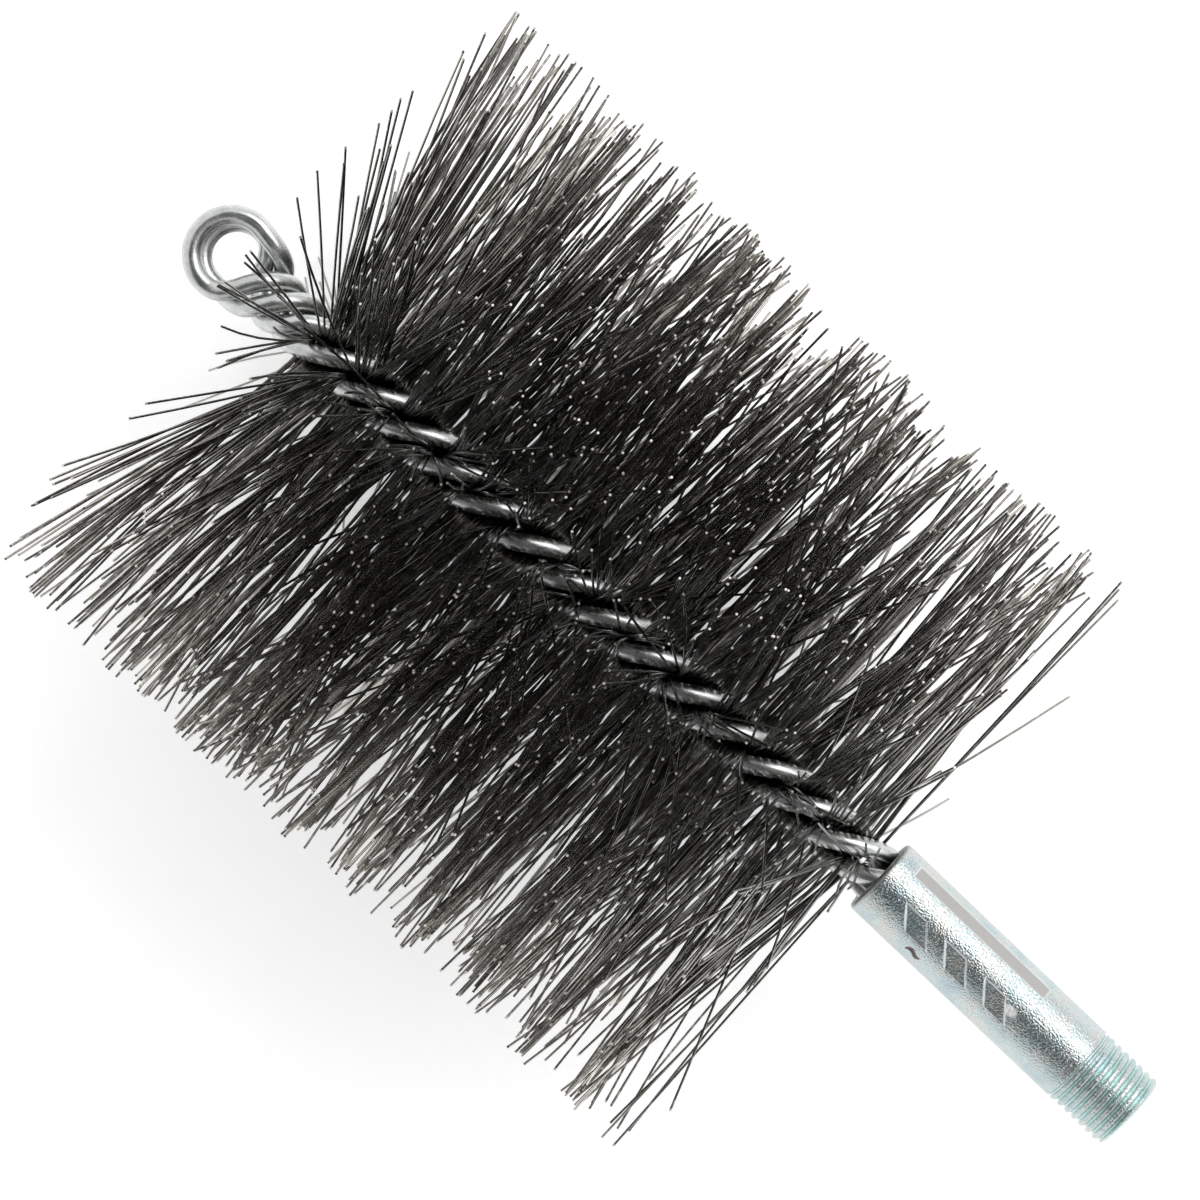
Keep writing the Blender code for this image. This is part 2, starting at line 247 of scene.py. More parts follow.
def galvanisedWire():
    # low carbon steel wire, hot dipped in zinc and drawn: soft grey-white shine, faint lines along its length
    material, tree = newMaterial("galvanised drawn wire")
    out = addNode(tree, "ShaderNodeOutputMaterial")
    coords = addNode(tree, "ShaderNodeTexCoord")
    lineScale = (1 / stemWire["lineLength"], stemWire["drawLines"], 1.0)
    uv = addNode(tree, "ShaderNodeMapping", Vector=(coords, "UV"), Scale=lineScale)
    drawLines = addNode(tree, "ShaderNodeTexNoise", {"noise_dimensions": "2D"}, Vector=(uv, "Vector"),
                        Scale=1.0, Detail=3.0)
    spangle = addNode(tree, "ShaderNodeTexNoise", Vector=(coords, "Object"),
                      Scale=1 / (stemWire["spangle"] * mm), Detail=4.0, Roughness=0.6)
    tone = colourRamp(tree, (spangle, "Fac"), ((0.3, "#b4b7b7"), (0.55, "#cbcdcc"), (0.75, "#dcdcd9")))
    rough = addNode(tree, "ShaderNodeMapRange", n0=(spangle, "Fac"), n1=0.3, n2=0.7, n3=0.18, n4=0.32)
    bump = addNode(tree, "ShaderNodeBump", Strength=0.35, Distance=0.03 * mm, Height=(drawLines, "Fac"))
    pits = addNode(tree, "ShaderNodeTexNoise", Vector=(coords, "Object"), Scale=1 / (stemWire["pits"] * mm),
                   Detail=2.0)
    pitted = addNode(tree, "ShaderNodeBump", Strength=0.2, Distance=0.02 * mm, Height=(pits, "Fac"),
                     Normal=(bump, "Normal"))
    shader = addNode(tree, "ShaderNodeBsdfPrincipled", Base_Color=(tone, "Color"), Metallic=1.0,
                     Roughness=(rough, "Result"), Normal=(pitted, "Normal"))
    tree.links.new(shader.outputs[0], out.inputs[0])
    return material


wireFinish = galvanisedWire()
for which in ("front", "back"):
    points, faces, uv = tube(foldedPath(which), stemWire["diameter"] / 2, stemWire["sides"])
    name = "stemWire" + which.title()
    meshPiece(name, place(points), faces, wireFinish, ["stem_wire_" + which], uv)
print("stem wires done")

# Filaments: stiff black wires gripped in their middle between the strands
filament = {
    "diameter": 0.40,  # mm
    "count": 1440,  # each is gripped in its middle and shows on both sides
    "rows": 7,  # even rows in each slice of the brush
    "kept": 3,  # filaments that stand together in each even row
    "evenLean": 4.4,  # degrees along and round the stem by which those rows stray, and each one of its own
    "evenTurn": 5.0,
    "evenOwn": 0.8,
    "evenSteps": (0.414, 0.755),  # shares of their range from one row to the next, for lean and turn
    "bundle": 6,  # neighbours that stay together among the others
    "bundleFan": 2.0,  # degrees along the stem by which they spread out
    "rootStray": 0.3,  # mm and shares of a place by which roots stray
    "gripped": 3.2,  # mm from the axis within which it runs straight through
    "tipRadius": 56.4,
    "short": 4.5,  # the most that a tip is cut short
    "shortPower": 1.8,  # above 1 few tips are cut that short
    "bundleLean": 6.0,  # degrees along the stem, spread of a bundle
    "ownLean": 4.2,
    "bundleTurn": 7.0,  # degrees round the stem
    "ownTurn": 3.0,
    "bow": 0.35,  # mm, how far an arm strays from straight in its middle
    "shares": (0.0, 0.08, 0.3, 0.55, 0.78),  # of an arm's length, where its points lie
    "fanPower": 3,  # tips lean out by this power of the nearness to the brush's end
    "eyeFan": 30,  # mm of the brush whose tips lean out at the eye
    "eyeSplay": 10.0,  # mm that the endmost ones lean, and how much more or less a loose bundle does
    "eyeStray": 5.0,
    "eyeShares": (0.8, 0.2, 0.3),  # of that lean: everywhere, more towards +Y than -Y, and more on top
    "ferruleFan": 22,
    "ferruleSplay": -4.0,
    "ferruleStray": 5.0,
    "ferruleShares": (0.6, 0.6),  # of the stray: everywhere, and more towards +Y than -Y
    "eyeReach": -82.0,  # mm along the stem where leaning tips are held back on top
    "sideReach": 3.0,  # mm less of it towards +Y and -Y
    "ferruleReach": 47.0,
    "softness": 2.5,  # mm over which they are held
    "places": (-71.2, -67, -62, -20, 10, 28, 34, 42.1),  # mm along the stem
    "densityShares": (0.6, 1.2, 1.3, 1.2, 1.0, 0.8, 0.4, 0.2),  # how close the filaments stand there
    "sheared": 0.006,  # share of each arm, at its tip, that the shears left bright
    "edge": 0.3,  # mm from the brush's end to the first roots
    "clearance": 0.3,  # mm from the table to the lowest filaments' middle lines
    "sides": 5,
    "seed": 16,
    "paintedLightFrom": 28.0,  # mm from the axis, where the painted light on the outer length starts, and where it is brightest
    "paintedLightTo": 56.0,
    "speck": 1.11,  # mm across the worn specks
    "endGrain": 1.25,  # wider than an end, so that some ends shine and others don't
}
slices = 14  # as many as the solids have
sliceLength = (brushEnd - brushStart) / slices


def scatter(index, step):
    # evenly spread between -1 and 1: twice the fraction of (index + 1/2) * step, less 1
    return 2 * np.mod((index + 0.5) * step, 1.0) - 1


def filamentPaths(rng):
    # one line of points each: straight through the grip, then each arm is root + length * direction,
    # where the direction is outward plus tan(lean) along the stem plus tan(turn) round it
    count, kept = filament["count"], filament["kept"]
    index = np.arange(count)
    layer = index % 2
    order = index // 2
    # the first ones stand in even rows, as the solids' tufts do, and the others in looser bundles
    rows = slices * filament["rows"]
    even = order < rows * kept
    row = np.minimum(order // kept, rows - 1)
    pitch = (sliceLength - stemWire["gap"]) / filament["rows"]
    rowX = brushStart + stemWire["gap"] / 2 + sliceLength * (row // filament["rows"])
    rowX = rowX + pitch * (row % filament["rows"] + 0.5)
    loose = np.maximum(order - rows * kept, 0)
    looseCount = count // 2 - rows * kept
    bundle = loose // filament["bundle"]
    inBundle = (loose % filament["bundle"] + 0.5) / filament["bundle"] - 0.5
    bundles = looseCount // filament["bundle"] + 1
    # roots follow on evenly, closer together where the density is higher
    along = np.linspace(brushStart + filament["edge"], brushEnd - filament["edge"], 200)
    density = np.interp(along, filament["places"], filament["densityShares"])
    filled = np.cumsum(density) / density.sum()
    looseShare = (loose + filament["rootStray"] * rng.uniform(-1, 1, count)) / looseCount
    looseX = np.interp(looseShare, filled, along)
    x = np.where(even, rowX + filament["rootStray"] * rng.uniform(-1, 1, count), looseX)
    byEye = np.clip(1 - (x - brushStart) / filament["eyeFan"], 0, 1) ** filament["fanPower"]
    byFerrule = np.clip(1 - (brushEnd - x) / filament["ferruleFan"], 0, 1) ** filament["fanPower"]
    share = np.array([*filament["shares"], 1 - filament["sheared"], 1.0])
    root = filament["gripped"]
    leanStep, turnStep = filament["evenSteps"]
    halves = []
    for side in (0, 1):
        lean = rng.normal(0, filament["bundleLean"], (2, bundles))[layer, bundle]
        lean = lean + rng.normal(0, filament["ownLean"], count) + filament["bundleFan"] * inBundle
        evenLean = filament["evenLean"] * scatter(2 * row + layer, leanStep)
        evenLean = evenLean + rng.normal(0, filament["evenOwn"], count)
        lean = np.radians(np.where(even, evenLean, lean))
        turn = rng.normal(0, filament["bundleTurn"], (2, bundles))[layer, bundle]
        angle = np.radians(90 * (layer + 2 * side) - 90 * (quarterTurns(x) - stemWire["startCount"]))
        turn = turn + rng.normal(0, filament["ownTurn"], count)
        evenTurn = filament["evenTurn"] * scatter(2 * row + layer, turnStep)
        evenTurn = evenTurn + rng.normal(0, filament["evenOwn"], count)
        turn = np.tan(np.radians(np.where(even, evenTurn, turn)))
        tip = filament["tipRadius"] - filament["short"] * rng.random(count) ** filament["shortPower"]
        # the length at which root + length * direction is the tip's radius away from the axis
        length = (np.sqrt(tip ** 2 * (1 + turn ** 2) - (root * turn) ** 2) - root) / (1 + turn ** 2)
        # tips near both ends lean by their nearness to it, loose bundles by more or less than the rows do
        stray = np.where(even, 0, rng.normal(0, 1, (2, bundles))[layer, bundle])
        plain, sideShare, topShare = filament["eyeShares"]
        eyeLean = plain + sideShare * np.cos(angle) + topShare * np.maximum(np.sin(angle), 0)
        strayShare = filament["ferruleShares"][0] + filament["ferruleShares"][1] * np.cos(angle)
        splay = byFerrule * (filament["ferruleSplay"] + filament["ferruleStray"] * strayShare * stray)
        splay = splay - byEye * (filament["eyeSplay"] * eyeLean + filament["eyeStray"] * stray)
        tipX = x + np.tan(lean) * length + splay
        # beyond the reach a tip keeps only softness * tanh(excess / softness / 2)
        soft = filament["softness"]
        over = np.clip(tipX - filament["ferruleReach"], 0, None)
        reach = filament["eyeReach"] + filament["sideReach"] * np.abs(np.cos(angle))
        under = np.clip(reach - tipX, 0, None)
        tipX += under - soft * np.tanh(under / soft / 2) - over + soft * np.tanh(over / soft / 2)
        outward = root + length[:, None] * share
        bowed = 4 * share * (1 - share) * filament["bow"]
        sideways = length[:, None] * share * turn[:, None] + bowed * rng.normal(0, 1, (count, 1))
        points = np.stack([x[:, None] + (tipX - x)[:, None] * share + bowed * rng.normal(0, 1, (count, 1)),
                           outward * np.cos(angle)[:, None] - sideways * np.sin(angle)[:, None],
                           outward * np.sin(angle)[:, None] + sideways * np.cos(angle)[:, None]], -1)
        # the lowest tips are levelled just above the table
        points[..., 2] = np.maximum(points[..., 2], filament["clearance"] - axisHeight / mm)
        halves.append(points)
    middle = np.stack([x, 0 * x, 0 * x], -1)[:, None]
    return x, np.concatenate([halves[0][:, ::-1], middle, halves[1]], axis=1)


def filamentTubes(paths, offset, shade):
    # small tubes, all at once: (filament, point along it, side); each point is
    # path + radius * (cos(angle) * first + sin(angle) * second), both directions square to the path; the UV
    # holds the distance from the axis in mm and the filament's own shade
    tangent = np.gradient(paths, axis=1)
    tangent /= np.linalg.norm(tangent, axis=2, keepdims=True)
    x = np.zeros_like(paths)
    x[..., 0] = 1
    first = x - tangent * (tangent * x).sum(-1, keepdims=True)
    first /= np.linalg.norm(first, axis=2, keepdims=True)
    second = np.cross(tangent, first)
    sides = filament["sides"]
    angle = np.linspace(0, 2 * np.pi, sides, endpoint=False)
    ring = np.cos(angle)[:, None] * first[:, :, None] + np.sin(angle)[:, None] * second[:, :, None]
    points = paths[:, :, None] + ring * filament["diameter"] / 2
    points = points + second[:, :, None] * offset[:, None, None, None]
    count, steps = paths.shape[:2]
    base = (np.arange(count) * steps * sides)[:, None, None]
    i, j = np.meshgrid(np.arange(steps - 1), np.arange(sides), indexing="ij")
    k = (j + 1) % sides
    quad = np.stack([i * sides + j, i * sides + k, (i + 1) * sides + k, (i + 1) * sides + j], -1)
    quads = (base + quad.reshape(1, -1, 4)).reshape(-1, 4)
    segment = np.tile(np.repeat(np.arange(steps - 1), sides), count)
    isEnd = (segment == 0) | (segment == steps - 2)
    startCap = (base[:, 0] + np.arange(sides)[None, ::-1])
    endCap = (base[:, 0] + (steps - 1) * sides + np.arange(sides)[None])
    radius = np.hypot(paths[..., 1], paths[..., 2])
    uv = np.stack(np.broadcast_arrays(radius[:, :, None], shade[:, None, None] + angle * 0), -1)
    bare = np.concatenate([isEnd, np.ones(2 * count, bool)])
    return points.reshape(-1, 3), [quads, startCap, endCap], uv.reshape(-1, 2), bare


def oilTemperedWire():
    # high carbon spring wire, oil tempered: drawn smooth, under a thin black-brown oxide, so a dark shine
    material, tree = newMaterial("oil tempered spring wire")
    out = addNode(tree, "ShaderNodeOutputMaterial")
    coords = addNode(tree, "ShaderNodeTexCoord")
    split = addNode(tree, "ShaderNodeSeparateXYZ", Vector=(coords, "UV"))
    tone = colourRamp(tree, (split, "Y"),
                      ((0.0, "#3b3938"), (0.5, "#54524f"), (0.85, "#74726d"), (1.0, "#98958e")))
    speck = addNode(tree, "ShaderNodeTexNoise", Vector=(coords, "Object"),
                    Scale=1 / (filament["speck"] * mm), Detail=2.0)
    wornAndHighlight = addNode(tree, "ShaderNodeMapRange", n0=(speck, "Fac"), n1=0.5, n2=0.8, n3=0.0, n4=0.5)
    mixed = addNode(tree, "ShaderNodeMix", {"data_type": "RGBA"}, n0=(wornAndHighlight, "Result"), n6=(tone, "Color"),
                    n7=linear("#a3a098"))
    rough = addNode(tree, "ShaderNodeMapRange", n0=(speck, "Fac"), n1=0.3, n2=0.7, n3=0.07, n4=0.13)
    # painted light: the outer length is painted brighter than what stays in the brush, for the light that the
    # outer filaments catch from the table and walls
    paintedLight = addNode(tree, "ShaderNodeMapRange", {"interpolation_type": "SMOOTHSTEP"}, n0=(split, "X"),
                      n1=filament["paintedLightFrom"], n2=filament["paintedLightTo"], n3=1.15, n4=2.25)
    bright = addNode(tree, "ShaderNodeVectorMath", {"operation": "SCALE"}, n0=(mixed, 2),
                     n3=(paintedLight, "Result"))
    shader = addNode(tree, "ShaderNodeBsdfPrincipled", Base_Color=(bright, 0), Metallic=1.0,
                     Roughness=(rough, "Result"))
    tree.links.new(shader.outputs[0], out.inputs[0])
    return material


def cutSteel():
    # sheared end of the spring wire: bare steel with a torn grain, so that some ends shine and others don't
    material, tree = newMaterial("bare cut steel")
    out = addNode(tree, "ShaderNodeOutputMaterial")
    coords = addNode(tree, "ShaderNodeTexCoord")
    grain = addNode(tree, "ShaderNodeTexNoise", Vector=(coords, "Object"),
                    Scale=1 / (filament["endGrain"] * mm))
    tone = colourRamp(tree, (grain, "Fac"), ((0.4, "#4f4d4a"), (0.62, "#d8d5cd")))
    shader = addNode(tree, "ShaderNodeBsdfPrincipled", Base_Color=(tone, "Color"), Metallic=1.0,
                     Roughness=0.5)
    tree.links.new(shader.outputs[0], out.inputs[0])
    return material


filamentFinish = oilTemperedWire()
cutFinish = cutSteel()
rng = np.random.default_rng(filament["seed"])
rootX, paths = filamentPaths(rng)
offset = filament["diameter"] / 2 * rng.choice([-1, 0, 1], len(rootX))
shade = rng.random(len(rootX))
inSlice = np.clip(((rootX - brushStart) / sliceLength).astype(int), 0, slices - 1)
for number in range(slices):
    chosen = inSlice == number
    points, faces, uv, bare = filamentTubes(paths[chosen], offset[chosen], shade[chosen])
    piece = meshPiece("filaments%02d" % (number + 1), place(points), faces, filamentFinish,
                      ["bristles_%02d" % (number + 1)], uv)
    piece.data.materials.append(cutFinish)
    piece.data.polygons.foreach_set("material_index", bare.astype(np.int32))
    piece.data.polygons.foreach_set("use_smooth", np.arange(len(bare)) < len(faces[0]))
print("filaments done:", len(rootX))

# Ferrule: steel tube pressed onto the stem, threaded at its end
ferrule = {
    "start": 44.2,  # mm along the stem
    "end": 95.25,
    "radius": 6.35,
    "bore": 4.78,
    "threadLength": 10.2,
    "pitch": 1.411,
    "threadDepth": 0.52,
    "crest": 2.0,  # above 1 the crests are broad and the roots narrow
    "runOut": (0.1, 0.8),  # mm after the thread's start where it begins to cut, and over which it deepens
    "relief": (0.5, 0.3),  # width and depth of the groove before the thread
    "chamfer": 0.5,
    "marks": (5.4, 13.34, 21.28),  # mm from the mouth to each slanted press mark
    "markTurn": -17,  # degrees from the top
    "markLength": 4.2,
    "markHalfWidth": 1.8,
    "markSlant": 0.8,
    "markDepth": 0.35,
    "markSmooth": 0.15,  # share of the pebbles that the press took off
    "lip": (0.16, 0.06),  # width and height of the metal pushed up round the marks
    "pad": (3.6, 29.8),  # from and to, mm from the mouth, of the flat strip beside them
    "padTurn": 44,
    "padHalfWidth": 1.2,
    "padDepth": (0.12, 0.03),  # in its middle, and at least
    "padEdge": 0.14,
    "padBurnish": 0.6,  # how bright its edges are
    "rubbedAndPaintedHighlight": (27.3, -11, 1.6, 1.0),  # painted highlight, a bright spot: mm from the mouth, degrees, half length and half width
    "highlightEdge": 1.6,  # the higher, the sharper its edge
    "stain": (9.9, 12.7, -50, 0.6),  # from and to, mm from the mouth, degrees, half width
    "stainWave": (0.28, 4.0, 7.0),  # mm to either side, where the wave starts and how far it goes, in radians
    "step": (0.15, 0.1),  # mm between rows on the body and on the thread
    "closeTurns": (-42, 60),  # degrees between which the marks and the strip lie
    "turnSteps": (1.1, 2.6),  # degrees between points there and elsewhere
    "firstRow": 0.75,  # mm from the mouth, past its rounded rim
    "threadRows": (0.6, 0.55),  # mm before the thread, where the body's rows end and the thread's begin
    "boreRows": 8,
    "boreInset": 4,  # mm from either end to the first of those rows
    "mouthPebble": 0.3,  # how far the mouth's rim is pebbled
    "pebble": 0.294,  # mm across the pebbles of the plated skin
    "pit": 0.192,  # mm across its darker pits
    "cloud": 3.85,  # mm across its bluer and greyer patches
}


def ferruleRelief(x, theta):
    # depth below the plain radius, and how far each point is pebbled, polished bright and stained, the polish
    # also holding a painted highlight spot; theta runs from +Z towards +Y
    x, theta = np.broadcast_arrays(x, theta)
    radius = ferrule["radius"]
    mouth = x - ferrule["start"]
    threadStart = ferrule["end"] - ferrule["threadLength"]
    # the thread is a rolled wave, half of 1 - cos(x / pitch + theta / turn), to a power that narrows its
    # roots
    phase = (x - threadStart) / ferrule["pitch"] + theta / (2 * np.pi)
    wave = (0.5 - 0.5 * np.cos(2 * np.pi * phase)) ** ferrule["crest"]
    cutStart, cutLength = ferrule["runOut"]
    runOut = np.clip((x - threadStart - cutStart) / cutLength, 0, 1)
    depth = np.where(x > threadStart, ferrule["threadDepth"] * wave * runOut, 0)
    # the end's chamfer rises evenly to its full depth
    depth = np.maximum(depth, ferrule["chamfer"] - (ferrule["end"] - x))
    # the groove before the thread is flat over two thirds of its width, between sloping sides
    reliefWidth, reliefDepth = ferrule["relief"]
    relief = np.clip(3 - 6 * np.abs(x - threadStart + reliefWidth / 2) / reliefWidth, 0, 1)
    depth = np.maximum(depth, reliefDepth * relief)
    pebbled = np.ones(x.shape)
    burnished = np.zeros(x.shape)
    inMark = np.zeros(x.shape)
    lipWidth, lipHeight = ferrule["lip"]
    padDeepest, padLeast = ferrule["padDepth"]
    wide = 0.8  # radians to either side, past which no flat floor reaches
    for side in (0, np.pi):
        # a press mark is a slanted patch with a flat floor, whose depth is radius - (radius - deepest) / cos
        away = np.angle(np.exp(1j * (theta - np.radians(ferrule["markTurn"]) - side)))
        across = away * radius
        floor = np.maximum(radius - (radius - ferrule["markDepth"]) / np.cos(np.clip(away, -wide, wide)), 0)
        for start in ferrule["marks"]:
            left = mouth - start - ferrule["markSlant"] * (ferrule["markHalfWidth"] - across)
            edge = np.minimum(np.minimum(left, ferrule["markLength"] - left),
                              ferrule["markHalfWidth"] - np.abs(across))
            inside = np.clip(edge / lipWidth + 0.5, 0, 1)
            depth = np.maximum(depth, inside * floor)
            pebbled = np.minimum(pebbled, 1 - ferrule["markSmooth"] * inside)
            inMark = np.maximum(inMark, inside)
            # the lip falls off on both sides of the edge
            lip = np.clip(1 - np.abs(edge) / lipWidth, 0, 1)
            depth = depth - lipHeight * np.clip(1 - np.abs(edge + lipWidth) / lipWidth, 0, 1)
            burnished = np.maximum(burnished, lip)
        away = np.angle(np.exp(1j * (theta - np.radians(ferrule["padTurn"]) - side)))
        edge = np.minimum(np.minimum(mouth - ferrule["pad"][0], ferrule["pad"][1] - mouth),
                          ferrule["padHalfWidth"] - np.abs(away) * radius)
        inside = np.clip(edge / ferrule["padEdge"] + 0.5, 0, 1)
        floor = np.maximum(radius - (radius - padDeepest) / np.cos(np.clip(away, -wide, wide)), padLeast)
        depth = np.maximum(depth, inside * floor)
        pebbled = np.minimum(pebbled, 1 - inside)
        edgeShine = ferrule["padBurnish"] * np.clip(1 - np.abs(edge) / ferrule["padEdge"], 0, 1)
        burnished = np.maximum(burnished, edgeShine)
        # painted highlight, a bright spot beside the last mark: 1 - (x / half length)^2 - (y / half width)^2
        spotX, spotTurn, spotLength, spotWidth = ferrule["rubbedAndPaintedHighlight"]
        away = np.angle(np.exp(1j * (theta - np.radians(spotTurn) - side))) * radius
        spot = 1 - ((mouth - spotX) / spotLength) ** 2 - (away / spotWidth) ** 2
        burnished = np.maximum(burnished, np.clip(spot * ferrule["highlightEdge"], 0, 1) * (1 - inMark))
    # a small brown stain: a wavy line that thins out at both ends
    stainStart, stainEnd, stainTurn, stainWidth = ferrule["stain"]
    share = np.clip((mouth - stainStart) / (stainEnd - stainStart), 0, 1)
    sway, swayStart, swayLength = ferrule["stainWave"]
    line = (theta - 2 * np.pi * (theta > np.pi) - np.radians(stainTurn)) * radius
    line = line - sway * np.sin(swayStart - share * swayLength)
    stained = np.clip(2 - 2 * np.abs(line) / (stainWidth * np.sqrt(share * (1 - share)) * 2 + 1e-6), 0, 1)
    return depth, pebbled, burnished, stained


def ferruleSurface():
    # one closed profile carried round the axis: mouth, outside, end chamfer, end face and back down the bore;
    # points at (x, r sin(theta), r cos(theta)), where r outside is the radius less the relief's depth; the UV
    # holds that depth in mm and how far a point is pebbled
    start, end, chamfer = ferrule["start"], ferrule["end"], ferrule["chamfer"]
    bore, radius = ferrule["bore"], ferrule["radius"]
    boreRows, inset = ferrule["boreRows"], ferrule["boreInset"]
    nearTurn, farTurn = ferrule["closeTurns"]
    closeTurns = np.arange(nearTurn, farTurn, ferrule["turnSteps"][0])
    wideTurns = np.arange(farTurn, nearTurn + 180, ferrule["turnSteps"][1])
    halfTurn = np.concatenate([closeTurns, wideTurns])
    theta = np.radians(np.concatenate([halfTurn, halfTurn + 180]))
    threadStart = end - ferrule["threadLength"]
    bodyStop, threadFrom = ferrule["threadRows"]
    body = np.arange(start + ferrule["firstRow"], threadStart - bodyStop, ferrule["step"][0])
    thread = np.arange(threadStart - threadFrom, end, ferrule["step"][1])
    outside = np.concatenate([body, thread])
    relief = ferruleRelief(outside[:, None], theta[None])
    # rounded rims: mm in from the end, and radius
    mouthRows = [(0.3, bore), (0.1, bore + 0.1), (0, bore + 0.3), (0, radius - 0.6), (0.08, radius - 0.38),
                 (0.22, radius - 0.2), (0.45, radius - 0.06)]
    endRows = [(0, radius - chamfer - 0.25), (0, bore + 0.3), (0.1, bore + 0.1), (0.3, bore)]
    first = len(mouthRows)
    x = np.concatenate([start + np.array(mouthRows)[:, 0], outside, end - np.array(endRows)[:, 0],
                        np.linspace(end - inset, start + inset, boreRows)])
    plain = np.concatenate([np.array(mouthRows)[:, 1], np.array(endRows)[:, 1], np.full(boreRows, bore)])
    plain = plain[:, None] + 0 * theta
    r = np.concatenate([plain[:first], radius - relief[0], plain[first:]])
    points = np.stack([x[:, None] + 0 * r, r * np.sin(theta), r * np.cos(theta)], -1)
    steps, sides = r.shape
    i, j = np.meshgrid(np.arange(steps), np.arange(sides), indexing="ij")
    nextI, k = (i + 1) % steps, (j + 1) % sides
    quads = np.stack([i * sides + j, nextI * sides + j, nextI * sides + k, i * sides + k], -1).reshape(-1, 4)
    finish = np.zeros((3, steps, sides))
    finish[:, first:first + len(outside)] = relief[1:]
    finish[0, :first] = ferrule["mouthPebble"]
    uv = np.stack([(radius - r), finish[0]], -1).reshape(-1, 2)
    return points.reshape(-1, 3), [quads], uv, {"burnished": finish[1], "stained": finish[2]}


def brightZinc():
    # cold rolled steel tube, electroplated with bright zinc: a mirror over a pebbled skin, blue-green where
    # the passivation lies thicker in the thread's roots, smooth and grey where the press wore its skin down,
    # near white where the press polished the metal round its marks, and on one spot painted white as a
    # highlight
    material, tree = newMaterial("bright zinc plate")
    out = addNode(tree, "ShaderNodeOutputMaterial")
    coords = addNode(tree, "ShaderNodeTexCoord")
    split = addNode(tree, "ShaderNodeSeparateXYZ", Vector=(coords, "UV"))
    pebble = addNode(tree, "ShaderNodeTexNoise", Vector=(coords, "Object"),
                     Scale=1 / (ferrule["pebble"] * mm), Detail=1.5, Roughness=0.55)
    cloud = addNode(tree, "ShaderNodeTexNoise", Vector=(coords, "Object"), Scale=1 / (ferrule["cloud"] * mm),
                    Detail=3.0)
    tone = colourRamp(tree, (cloud, "Fac"), ((0.3, "#aebfc5"), (0.5, "#c0caca"), (0.7, "#cac9c5")))
    pits = addNode(tree, "ShaderNodeTexNoise", Vector=(coords, "Object"), Scale=1 / (ferrule["pit"] * mm),
                   Detail=1.0)
    pitted = addNode(tree, "ShaderNodeMapRange", n0=(pits, "Fac"), n1=0.36, n2=0.46, n3=0.35, n4=0.0)
    grain = addNode(tree, "ShaderNodeMix", {"data_type": "RGBA"}, n0=(pitted, "Result"), n6=(tone, "Color"),
                    n7=linear("#7c8283"))
    pressed = addNode(tree, "ShaderNodeMapRange", n0=(split, "Y"), n1=0.0, n2=0.25, n3=0.0, n4=1.0)
    rubbedAndPaintedHighlight = addNode(tree, "ShaderNodeMix", {"data_type": "RGBA"}, n0=(pressed, "Result"),
                     n6=linear("#b5b3b1"), n7=(grain, 2))
    root = addNode(tree, "ShaderNodeMapRange", n0=(split, "X"), n1=0.14, n2=0.36, n3=0.0, n4=0.9)
    inThread = addNode(tree, "ShaderNodeMath", {"operation": "GREATER_THAN"}, n0=(split, "Y"), n1=0.95)
    thick = addNode(tree, "ShaderNodeMath", {"operation": "MULTIPLY"}, n0=(root, "Result"),
                    n1=(inThread, "Value"))
    passive = addNode(tree, "ShaderNodeMix", {"data_type": "RGBA"}, n0=(thick, "Value"), n6=(rubbedAndPaintedHighlight, 2),
                      n7=linear("#bcd6d3"))
    # near white where the press polished the metal, and on one spot beside the last mark as a painted
    # highlight
    wornAndHighlight = addNode(tree, "ShaderNodeAttribute", {"attribute_name": "burnished"})
    lipsAndHighlight = addNode(tree, "ShaderNodeMix", {"data_type": "RGBA"}, n0=(wornAndHighlight, "Fac"), n6=(passive, 2),
                   n7=linear("#fbfdfd"))
    mark = addNode(tree, "ShaderNodeAttribute", {"attribute_name": "stained"})
    colour = addNode(tree, "ShaderNodeMix", {"data_type": "RGBA"}, n0=(mark, "Fac"), n6=(lipsAndHighlight, 2),
                     n7=linear("#4a1f1c"))
    metal = addNode(tree, "ShaderNodeMapRange", n0=(mark, "Fac"), n1=0.0, n2=1.0, n3=1.0, n4=0.1)
    pebbleRough = addNode(tree, "ShaderNodeMapRange", n0=(split, "Y"), n1=0.6, n2=1.0, n3=0.34, n4=0.11)
    rough = addNode(tree, "ShaderNodeMath", {"operation": "MULTIPLY_ADD"}, n0=(wornAndHighlight, "Fac"), n1=0.35,
                    n2=(pebbleRough, "Result"))
    strength = addNode(tree, "ShaderNodeMapRange", n0=(split, "Y"), n1=0.0, n2=1.0, n3=0.2, n4=1.0)
    bump = addNode(tree, "ShaderNodeBump", Strength=(strength, "Result"), Distance=0.13 * mm,
                   Height=(pebble, "Fac"))
    shader = addNode(tree, "ShaderNodeBsdfPrincipled", Base_Color=(colour, 2), Metallic=(metal, "Result"),
                     Roughness=(rough, "Value"), Normal=(bump, "Normal"))
    tree.links.new(shader.outputs[0], out.inputs[0])
    return material


points, faces, uv, finish = ferruleSurface()
threadedFerrule = meshPiece("threadedFerrule", place(points), faces, brightZinc(), ["ferrule"], uv)
for name, values in finish.items():
    layer = threadedFerrule.data.attributes.new(name, "FLOAT", "POINT")
    layer.data.foreach_set("value", values.astype(np.float32).ravel())
print("ferrule done")

